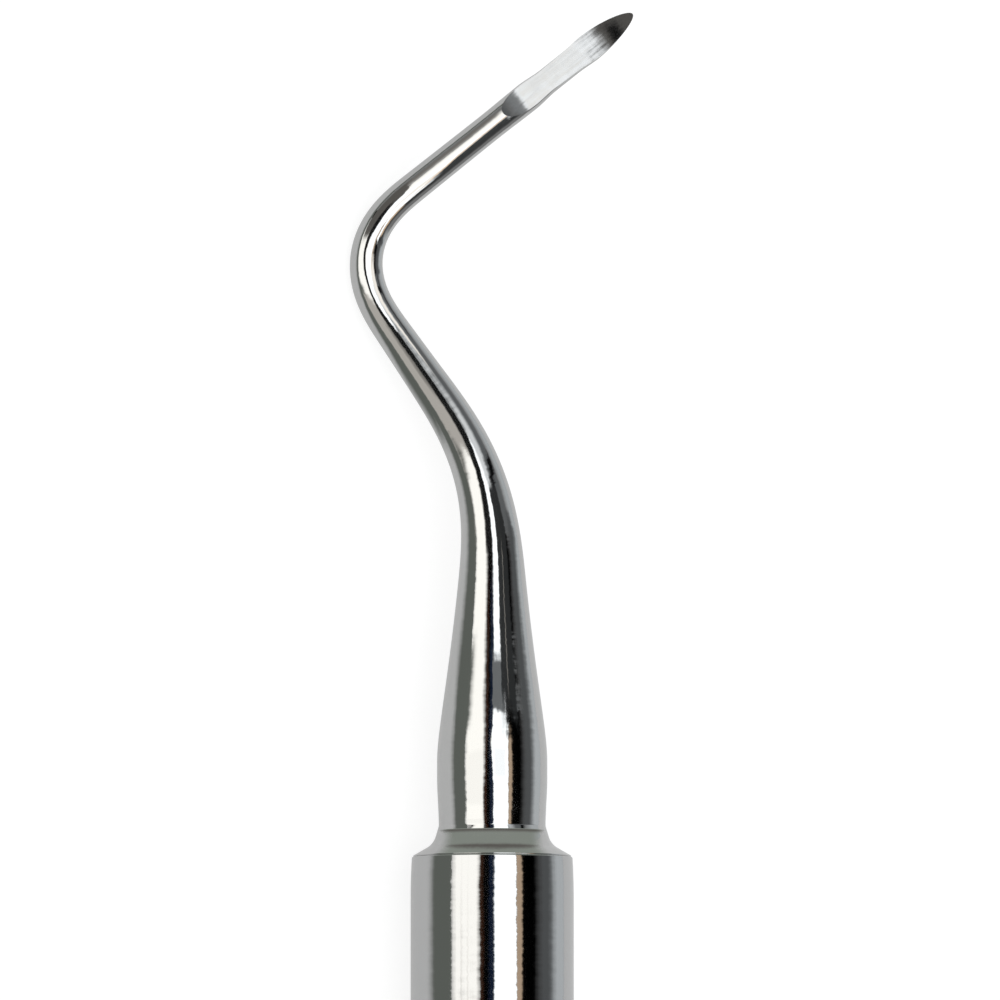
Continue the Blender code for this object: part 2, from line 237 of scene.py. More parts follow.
class WorkingEnd:
    """The working end's form, worked out from its sizes, as it leaves the lathe and then bent."""

    def __init__(self, sizes, handle):
        self.s = sizes
        self.handle_radius = handle.diameter / 2
        self.tang_radius = self.handle_radius - handle.wall - handle.clearance
        self.tang_chamfer = handle.tang_chamfer
        self.seat_x = handle.cap + handle.tube_length
        self.first_bend_end = sizes.first_bend_start + sizes.first_bend_length
        self.second_bend_start = self.first_bend_end + sizes.between_bends
        self.second_bend_end = self.second_bend_start + sizes.second_bend_length
        self.tip = self.second_bend_end + sizes.to_tip
        self.face_start = self.tip - sizes.face_length
        self.leaf = self.tip - sizes.nose_length
        waist_front = self.leaf - sizes.leaf_swell
        waist_back = waist_front - sizes.waist_length
        heel = waist_back - sizes.heel_fall
        rise = heel - sizes.heel_rise
        self.stations = [
            (self.leaf, sizes.leaf_radius),
            (waist_front, sizes.waist_radius),
            (waist_back, sizes.waist_radius),
            (heel, sizes.heel_radius),
            (rise, self.taper_radius(rise)),
        ]
        self.paths, self.points = self.centre_line()

    def taper_radius(self, path):
        s = self.s
        along = max(path - s.neck_end, 0)
        fallen = (math.hypot(along, s.taper_ease) - s.taper_ease) / s.taper_length
        return s.shank_radius + (s.neck_radius - s.shank_radius) * math.exp(-(fallen**s.taper_fade))

    def radius(self, path):
        """Half the shank's thickness before the face is ground."""
        s = self.s
        if path >= self.leaf:
            part = min(1, (path - self.leaf) / s.nose_length)
            return s.leaf_radius * max(0, 1 - part**s.nose_fullness) ** s.nose_bluntness
        for (front, front_radius), (back, back_radius) in zip(self.stations, self.stations[1:]):
            if path >= back:
                return back_radius + (front_radius - back_radius) * ease((path - back) / (front - back))
        return self.taper_radius(path)

    def turn(self, path):
        """How far the shank has turned away from the handle's axis at this path length."""
        s = self.s
        first = ease((path - s.first_bend_start) / s.first_bend_length)
        second = ease((path - self.second_bend_start) / s.second_bend_length)
        return s.second_bend * second - s.first_bend * first

    def centre_line(self):
        """Path lengths, and the points of the bent centre line there."""
        paths = np.append(evenly(0, self.tip, CENTRE_LINE_SPACING), self.tip)
        turns = np.array([self.turn(path) for path in (paths[1:] + paths[:-1]) / 2])
        steps = np.diff(paths)[:, None] * np.column_stack([np.cos(turns), -np.sin(turns)])
        return paths, np.vstack([[0, 0], np.cumsum(steps, axis=0)])

    def rest_roll(self):
        """How far the instrument rolls before its outer bend touches what the handle lies on."""
        rolls = []
        for path, point in zip(self.paths[::2], self.points[::2]):
            room = self.handle_radius - self.radius(path)
            if point[1] > room:
                rolls.append(math.asin(room / point[1]))
        return min(rolls)

    def face_height(self, path):
        """Height of the ground face above the blade's axis."""
        s = self.s
        place = path - self.face_start
        height = self.radius(self.face_start)
        sine = math.sin(s.wheel_entry)
        hollow = s.wheel_radius * (sine - math.sin(s.flat_slope))
        slope = math.asin(sine - min(place, hollow) / s.wheel_radius)
        height -= s.wheel_radius * (math.cos(slope) - math.cos(s.wheel_entry))
        flat = s.face_length - s.face_nose_length - hollow
        height -= min(max(place - hollow, 0), flat) * math.tan(s.flat_slope)
        part = max(place - hollow - flat, 0) / s.face_nose_length
        gain = (math.tan(s.face_nose_slope) - math.tan(s.flat_slope)) / 2
        return height - s.face_nose_length * (math.tan(s.flat_slope) * part + gain * part * part)

    def ground_tip(self):
        """Where the falling face meets the blade's back."""
        low, high = self.leaf, self.tip
        for _ in range(HALVINGS):
            middle = (low + high) / 2
            if self.radius(middle) > -self.face_height(middle):
                low = middle
            else:
                high = middle
        return low

    def profile(self):
        """(path, radius) from the tang's end up to the approach to the face."""
        s = self.s
        rim = self.handle_radius - s.shoulder_inset
        root = s.neck_radius - s.neck_waist
        turning = math.pi / 2 - s.shoulder_slope
        edge = s.shoulder_edge
        flare_foot = root + s.flare_fillet * (1 - math.cos(s.flare_slope))
        flare_top = flare_foot + s.flare_length * math.tan(s.flare_slope)
        climb = math.cos(s.flare_slope) - math.cos(turning)
        cone_top = flare_top + s.shoulder_fillet * climb
        cone_foot = rim - edge * (1 - math.sin(turning))
        cone_x = edge * (1 + math.cos(turning)) + (cone_foot - cone_top) * math.tan(s.shoulder_slope)
        fillet_x = cone_x + s.shoulder_fillet * math.sin(turning)
        neck_x = fillet_x + (s.flare_fillet - s.shoulder_fillet) * math.sin(s.flare_slope) + s.flare_length
        down = -math.pi / 2
        tang, chamfer = self.tang_radius, self.tang_chamfer
        profile = [(-s.tang, 0), (-s.tang, tang - chamfer), (chamfer - s.tang, tang)]
        profile += [(0, tang), (0, rim - edge)]
        profile += arc(edge, rim - edge, edge, math.pi, turning, RIM_STEPS)[1:]
        centre_r = cone_top + s.shoulder_fillet * math.cos(turning)
        flare = down - s.flare_slope
        profile += arc(fillet_x, centre_r, s.shoulder_fillet, down - turning, flare, FILLET_STEPS)
        profile += arc(neck_x, root + s.flare_fillet, s.flare_fillet, flare, down, RIM_STEPS)
        for i in range(1, WAIST_STEPS + 1):
            place = neck_x + s.neck_waist_length * i / WAIST_STEPS
            profile.append((place, root + s.neck_waist * ease(i / WAIST_STEPS)))
        places = evenly(profile[-1][0], s.neck_end, NECK_SPACING)[1:]
        places += evenly(s.neck_end, s.first_bend_start, TAPER_SPACING)
        places += evenly(s.first_bend_start, self.second_bend_end, BEND_SPACING)
        places += evenly(self.second_bend_end, self.face_start - APPROACH, TAPER_SPACING)
        return profile + [(path, self.radius(path)) for path in places]

    def blade_places(self):
        """Path lengths of the sections from there to the ground tip, dense at both ends of the face."""
        start = self.face_start
        dense_end = start + FACE_START_LENGTH
        nose = self.ground_tip() - self.leaf
        places = evenly(start - APPROACH, start, APPROACH_SPACING)
        for i in range(FACE_START_STEPS):
            places.append(start + FACE_START_LENGTH * (i / FACE_START_STEPS) ** 2)
        places += evenly(dense_end, self.leaf, FACE_SPACING)
        for i in range(NOSE_STEPS + 1):
            places.append(self.leaf + nose * math.sin(math.pi / 2 * i / NOSE_STEPS))
        return places

    def section(self, path, radius):
        """Points (across, up) of one section, first its round, then from corner to corner of its face."""
        s = self.s
        regular = math.pi * s.face_parts / (s.face_parts + s.round_parts)
        height = None
        if path < self.face_start:
            half = regular * min(1, (self.face_start - path) / APPROACH)
        else:
            height = max(-radius, min(radius, self.face_height(path)))
            half = math.acos(height / radius) if radius > 0 else math.pi
        top = math.pi / 2
        rounds = np.linspace(top - half, top + half - 2 * math.pi, s.round_parts + 1)
        y = radius * np.cos(rounds)
        z = radius * np.sin(rounds)
        if height is None:
            tops = np.linspace(top + half, top - half, s.face_parts + 1)[1:-1]
            y_face = radius * np.cos(tops)
            z_face = radius * np.sin(tops)
        else:
            y_face = np.linspace(y[-1], y[0], s.face_parts + 1)[1:-1]
            z_face = np.full(len(y_face), height)
        y = np.concatenate([y, y_face])
        z = np.concatenate([z, z_face])
        cos, sin = math.cos(s.face_turn), math.sin(s.face_turn)
        return y * cos + z * sin, z * cos - y * sin

    def bent(self, path, y, z):
        """A section's points on the bent centre line, along +X from the butt."""
        if path <= 0:
            centre = np.array([path, 0])
        else:
            centre = np.array([np.interp(path, self.paths, self.points[:, i]) for i in (0, 1)])
        turn = self.turn(path)
        x = self.seat_x + centre[0] + y * math.sin(turn)
        return np.column_stack([x, centre[1] + y * math.cos(turn), z])


# Meshes


def lie(roll):
    """From the instrument along +X, bow up, to the part's own axes as it lies."""
    return np.array(Matrix.Rotation(math.pi, 3, "Z") @ Matrix.Rotation(-roll, 3, "X"))


def link_object(name, data):
    """A new object with this mesh or camera, in the scene."""
    thing = bpy.data.objects.new(name, data)
    bpy.context.scene.collection.objects.link(thing)
    return thing


def skin(name, rings, materials, sharp_lines=(), face_from=None, places=None):
    """A mesh over closed rings of points. sharp_lines (ring, side) stay crisp from that ring on, and
    face_from (ring, side) is where the second material starts. places are those on the blank."""
    count, sides = rings.shape[:2]
    index = np.arange(count * sides).reshape(count, sides)
    after = np.roll(index, -1, axis=1)
    quads = np.stack([index[:-1], after[:-1], after[1:], index[1:]], axis=-1).reshape(-1, 4)
    mesh = bpy.data.meshes.new(name)
    mesh.from_pydata(rings.reshape(-1, 3).tolist(), [], quads.tolist())
    for material in materials:
        mesh.materials.append(material)
    if face_from is not None:
        first_ring, first_side = face_from
        on_face = np.zeros((count - 1, sides), dtype=np.int32)
        on_face[first_ring:, first_side:] = 1
        mesh.polygons.foreach_set("material_index", on_face.ravel())
    if places is not None:
        layer = mesh.attributes.new("blank_place", "FLOAT_VECTOR", "POINT")
        layer.data.foreach_set("vector", places.reshape(-1).astype(np.float32))
    work = bmesh.new()
    work.from_mesh(mesh)
    work.verts.ensure_lookup_table()
    for first_ring, side in sharp_lines:
        for i in range(first_ring, count - 1):
            line = work.edges.get((work.verts[index[i, side]], work.verts[index[i + 1, side]]))
            line.smooth = False
    bmesh.ops.remove_doubles(work, verts=work.verts, dist=SAME_PLACE)
    bmesh.ops.recalc_face_normals(work, faces=work.faces)
    for face in work.faces:
        face.smooth = True
    for edge in work.edges:
        if edge.is_manifold and edge.calc_face_angle() > SHARP_ANGLE:
            edge.smooth = False
    work.to_mesh(mesh)
    work.free()
    return link_object(name, mesh)


def lathe(profile, sides):
    """Rings of points about the X axis, from (x, radius)."""
    turns = np.arange(sides) * (2 * math.pi / sides)
    rings = []
    for x, radius in profile:
        ring = [np.full(sides, x), radius * np.cos(turns), radius * np.sin(turns)]
        rings.append(np.column_stack(ring))
    return np.array(rings)


def settle(piece, node):
    """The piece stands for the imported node, on the part's one body."""
    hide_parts(node)
    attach(piece, "root")


# Materials

# Fineness of the marks along the steel and of the waves across them, in marks to a metre
GRAINS = (Vector((60, 5200, 5200)), Vector((3200, 800, 800)))
# How far those tilt the surface, across and along the pick, and how uneven the roughness is
HANDLE_MARKS = (0.05, 0.055, 0.15)
WORKING_MARKS = (0.05, 0.06, 0.2)
GROUND_MARKS = (0.1, 0.04, 0.3)
# The floor's own white, as the camera sees it and as the steel does, and what of its shade is left
FLOOR_GLOW = 0.8
FLOOR_GLOW_IN_STEEL = 0.4
FLOOR_SEEN = (0.3, 0.3, 0.3)


def add(tree, kind, **values):
    """A shader node with these socket values. A socket in place of a value is linked."""
    node = tree.nodes.new(kind)
    for key, value in values.items():
        if key in node.bl_rna.properties:
            setattr(node, key, value)
            continue
        socket = node.inputs[int(key[1:])] if key[0] == "_" else node.inputs[key.replace("_", " ")]
        if isinstance(value, bpy.types.NodeSocket):
            tree.links.new(value, socket)
        else:
            socket.default_value = value
    return node


def vector_math(tree, operation, **values):
    return add(tree, "ShaderNodeVectorMath", operation=operation, **values).outputs[0]


def plain_math(tree, operation, first, second):
    return add(tree, "ShaderNodeMath", operation=operation, _0=first, _1=second).outputs[0]


def either(tree, switch, off, on):
    """The first value where the switch is 0, the second where it is 1."""
    return add(tree, "ShaderNodeMix", data_type="FLOAT", _0=switch, _2=off, _3=on).outputs[0]


def new_material(name):
    material = bpy.data.materials.new(name)
    material.use_nodes = True
    material.node_tree.nodes.clear()
    return material, material.node_tree


def steel(name, tint, roughness, marks, lengthwise="blank"):
    """Polished steel with fine marks along its length, laid out on the straight blank or the object."""
    material, tree = new_material(name)
    *slopes, uneven = marks
    if lengthwise == "blank":
        place = add(tree, "ShaderNodeAttribute", attribute_name="blank_place").outputs["Vector"]
    else:
        place = add(tree, "ShaderNodeTexCoord").outputs["Object"]
    tilted = add(tree, "ShaderNodeNewGeometry").outputs["Normal"]
    for grain, slope in zip(GRAINS, slopes):
        spread = vector_math(tree, "MULTIPLY", _0=place, _1=grain)
        noise = add(tree, "ShaderNodeTexNoise", Vector=spread, Scale=1.0, Detail=3.0, Roughness=0.6)
        centred = vector_math(tree, "SUBTRACT", _0=noise.outputs["Color"], _1=(0.5, 0.5, 0.5))
        scaled = vector_math(tree, "SCALE", _0=centred, Scale=slope)
        tilted = vector_math(tree, "ADD", _0=tilted, _1=scaled)
    tilted = vector_math(tree, "NORMALIZE", _0=tilted)
    cloud = add(tree, "ShaderNodeTexNoise", Vector=place, Scale=700.0, Detail=4.0, Roughness=0.55)
    rough = add(
        tree,
        "ShaderNodeMapRange",
        Value=cloud.outputs["Fac"],
        From_Min=0.3,
        From_Max=0.7,
        To_Min=roughness * (1 - uneven),
        To_Max=roughness * (1 + uneven),
    )
    shader = add(
        tree,
        "ShaderNodeBsdfPrincipled",
        Base_Color=(*tint, 1),
        Metallic=1.0,
        Roughness=rough.outputs["Result"],
        Normal=tilted,
    )
    add(tree, "ShaderNodeOutputMaterial", Surface=shader.outputs[0])
    return material


def glow(name, tint, radiance, soft):
    """A panel's even light, or the dark of a card, fading out towards its rim."""
    material, tree = new_material(name)
    uv = add(tree, "ShaderNodeUVMap", uv_map="panel")
    parts = add(tree, "ShaderNodeSeparateXYZ", Vector=uv.outputs[0])
    mask = None
    for axis, (low, high) in zip(("X", "Y"), soft):
        for reach, flip in ((low, False), (high, True)):
            value = parts.outputs[axis]
            if flip:
                value = plain_math(tree, "SUBTRACT", 1.0, value)
            rise = add(tree, "ShaderNodeMapRange", interpolation_type="SMOOTHSTEP", From_Max=reach)
            tree.links.new(value, rise.inputs["Value"])
            faded = rise.outputs["Result"]
            mask = faded if mask is None else plain_math(tree, "MULTIPLY", mask, faded)
    light = add(tree, "ShaderNodeEmission", Color=(*tint, 1), Strength=radiance)
    clear = add(tree, "ShaderNodeBsdfTransparent")
    both = add(tree, "ShaderNodeMixShader", _0=mask, _1=clear.outputs[0], _2=light.outputs[0])
    add(tree, "ShaderNodeOutputMaterial", Surface=both.outputs[0])
    return material


def floor_material(tint):
    """Pale floor. The camera and the steel see it white, with the pick's shadow left on it."""
    material, tree = new_material("pale_floor")
    rays = add(tree, "ShaderNodeLightPath").outputs
    seen = plain_math(tree, "MAXIMUM", rays["Is Camera Ray"], rays["Is Glossy Ray"])
    seen = plain_math(tree, "MAXIMUM", seen, rays["Is Transmission Ray"])
    shade = add(tree, "ShaderNodeMix", data_type="RGBA", _0=seen, _6=(*tint, 1), _7=(*FLOOR_SEEN, 1))
    level = either(tree, rays["Is Glossy Ray"], FLOOR_GLOW, FLOOR_GLOW_IN_STEEL)
    strength = plain_math(tree, "MULTIPLY", seen, level)
    diffuse = add(tree, "ShaderNodeBsdfDiffuse", Color=shade.outputs[2])
    light = add(tree, "ShaderNodeEmission", Strength=strength)
    both = add(tree, "ShaderNodeAddShader", _0=diffuse.outputs[0], _1=light.outputs[0])
    add(tree, "ShaderNodeOutputMaterial", Surface=both.outputs[0])
    return material


def studio_world(studio):
    """White behind all, plain light from all round, and a darker room in the steel."""
    world = bpy.data.worlds.new("studio")
    bpy.context.scene.world = world
    world.use_nodes = True
    tree = world.node_tree
    tree.nodes.clear()
    rays = add(tree, "ShaderNodeLightPath").outputs
    level = either(tree, rays["Is Glossy Ray"], studio.sky, studio.sky_in_steel)
    behind = either(tree, rays["Is Camera Ray"], level, 1.0)
    background = add(tree, "ShaderNodeBackground", Strength=behind)
    add(tree, "ShaderNodeOutputWorld", Surface=background.outputs[0])


# The studio

CREAM, COOL, GREY = (1.0, 0.985, 0.94), (0.95, 0.98, 1.0), (0.92, 0.97, 1.0)
WARM, GREEN, BROWN = (1.0, 0.74, 0.52), (0.92, 1.0, 0.9), (1.0, 0.95, 0.88)
RUST, BLUE = (1.0, 0.35, 0.15), (0.2, 0.4, 1.0)
# The far panels stand on a ball of this radius
BALL = 0.6
# Facets of a sheet across and along it, and for each of its rows where it has them
SHEET_STEPS = 24
ROW_STEPS = 2
# Half the turn that a collar makes round the shank, in degrees
COLLAR_TURN = 80
# The card on the floor lies so far above it, and ends so far to the left of the pick, in millimetres
CARD_LIFT = 0.2
CARD_END = -400
# How far the floor reaches each way, and between which distances the camera sees
FLOOR_REACH = 8
CLIP_START, CLIP_END = 0.1, 50


class View:
    """Directions as the camera sees them: right, towards the tip, and towards the camera."""

    def __init__(self, studio, working_end):
        roll = working_end.rest_roll()
        self.towards = Vector((0, -math.sin(roll), math.cos(roll)))
        self.right = Vector((0, math.cos(roll), math.sin(roll)))
        self.up = Vector((-1, 0, 0))
        self.seat = Vector((-working_end.seat_x, 0, 0))
        self.centre = -(working_end.seat_x + studio.ahead) * Vector((1, 0, 0)) + studio.aside * self.right
        self.floor_depth = working_end.handle_radius

    def direction(self, right, up):
        """A direction so many degrees to the right and towards the tip of straight at the camera."""
        turned = math.radians(math.hypot(right, up))
        around = math.atan2(up, right)
        side = self.right * math.cos(around) + self.up * math.sin(around)
        return side * math.sin(turned) + self.towards * math.cos(turned)


def on_ball(view, distance, middle, size, tilt):
    """Places on a ball round the pick, as a rectangle in degrees as the camera sees it."""
    cos, sin = math.cos(math.radians(tilt)), math.sin(math.radians(tilt))

    def place(u, v):
        across = (u - 0.5) * size[0]
        along = (v - 0.5) * size[1]
        return view.centre + distance * view.direction(
            middle[0] + across * cos - along * sin, middle[1] + across * sin + along * cos
        )

    return place


def on_ring(view, distance, around, away):
    """Places on a ball round the pick, between two bearings and two angles off the camera's axis."""

    def place(u, v):
        bearing = math.radians(around[0] + (around[1] - around[0]) * u)
        off = away[0] + (away[1] - away[0]) * v
        return view.centre + distance * view.direction(off * math.cos(bearing), off * math.sin(bearing))

    return place


def row_at(rows, v):
    """The numbers so far through the rows, straight between those of its neighbours."""
    steps = len(rows) - 1
    row = min(int(v * steps), steps - 1)
    part = v * steps - row
    return (1 - part) * np.array(rows[row]) + part * np.array(rows[row + 1])


def close_by(view, height, rows):
    """Places in a plane close over the pick. Each row gives (right, up from the seat) of both its
    ends, in millimetres."""

    def place(u, v):
        left, right = row_at(rows, v)
        across, along = (1 - u) * left + u * right
        return view.seat + (view.right * across + view.up * along + view.towards * height) * MM

    return place


def collar(view, along, radii):
    """Places on a collar round the shank, so far up from the seat, between two radii in millimetres."""

    def place(u, v):
        angle = math.radians((1 - u) * -COLLAR_TURN + u * COLLAR_TURN)
        radius = (1 - v) * radii[0] + v * radii[1]
        outwards = view.right * math.sin(angle) + view.towards * math.cos(angle)
        return view.seat + (outwards * radius + view.up * along) * MM

    return place


def on_floor(view, edge):
    """Places on a card on the floor beside the pick. edge gives (up from the seat, beside the axis)
    of its near side, in millimetres."""
    height = -view.floor_depth / MM + CARD_LIFT

    def place(u, v):
        along, near = row_at(edge, v)
        return view.seat + Vector((-along, near + (CARD_END - near) * u, height)) * MM

    return place


